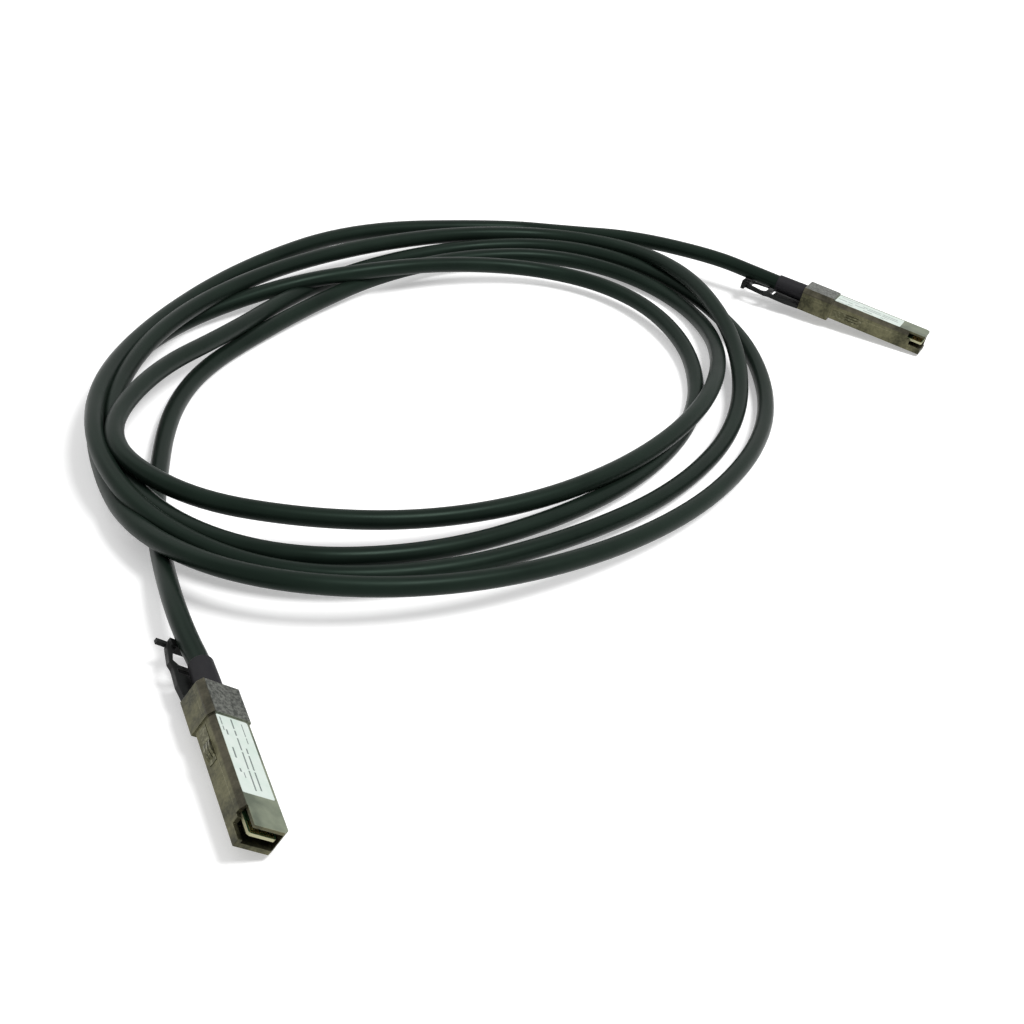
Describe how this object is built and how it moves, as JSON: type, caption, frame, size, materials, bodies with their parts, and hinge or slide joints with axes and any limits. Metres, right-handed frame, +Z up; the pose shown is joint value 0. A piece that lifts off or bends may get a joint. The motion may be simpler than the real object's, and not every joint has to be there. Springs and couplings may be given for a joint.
{
  "type": "direct attach copper cable",
  "caption": "Coiled round copper network lead with a die-cast plug, latch slide and pull tab at each end.",
  "frame": {"origin": "on the table, under the middle of the box round the two plugs, the cord left out", "axes": "+Z up; +Y along the box's long side, from the near plug (a) towards the far plug (b)"},
  "size_m": [0.346, 0.4421, 0.0181],
  "materials": {
    "die_cast": "satin nickel-plated zinc die casting",
    "screw_steel": "plain steel",
    "label_foil": "satin pale foil",
    "circuit_board": "green solder mask",
    "gold_plating": "polished gold plating",
    "chip_epoxy": "matt black moulding",
    "wire_insulation": "natural polymer",
    "crimp_brass": "nickel-plated brass",
    "boot_rubber": "matt soft moulding",
    "spring_steel": "cold-rolled",
    "tab_plastic": "fine-textured moulding",
    "cord_jacket": "satin extruded jacket"
  },
  "bodies": {
    "root": {"lower_housing_a": "die_cast", "upper_cover_a": "die_cast", "cover_screws_a": "screw_steel", "label_a": "label_foil", "paddle_card_a": "circuit_board", "edge_contacts_a": "gold_plating", "memory_chip_a": "chip_epoxy", "wire_pairs_a": "wire_insulation", "crimp_ring_a": "crimp_brass", "boot_a": "boot_rubber", "return_springs_a": "spring_steel", "ground_spring_left_a": "spring_steel", "ground_spring_right_a": "spring_steel", "lower_housing_b": "die_cast", "upper_cover_b": "die_cast", "cover_screws_b": "screw_steel", "label_b": "label_foil", "paddle_card_b": "circuit_board", "edge_contacts_b": "gold_plating", "memory_chip_b": "chip_epoxy", "wire_pairs_b": "wire_insulation", "crimp_ring_b": "crimp_brass", "boot_b": "boot_rubber", "return_springs_b": "spring_steel", "ground_spring_left_b": "spring_steel", "ground_spring_right_b": "spring_steel", "cable_coil": "cord_jacket", "cable_tail_a": "cord_jacket", "cable_tail_b": "cord_jacket"},
    "release_a": {"latch_slide_a": "spring_steel", "pull_tab_a": "tab_plastic"},
    "release_b": {"latch_slide_b": "spring_steel", "pull_tab_b": "tab_plastic"}
  },
  "joints": [
    {"name": "latch_release_a", "type": "slide", "parent": "root", "child": "release_a", "axis": [-0.4397, 0.898, 0.0175], "range_m": [0, 0.0025], "stiffness_N_per_m": 400, "springref_m": -0.001, "deforming": ["return_springs_a"]},
    {"name": "latch_release_b", "type": "slide", "parent": "root", "child": "release_b", "axis": [-0.9206, 0.3785, 0.0958], "range_m": [0, 0.0025], "stiffness_N_per_m": 400, "springref_m": -0.001, "deforming": ["return_springs_b"]}
  ]
}
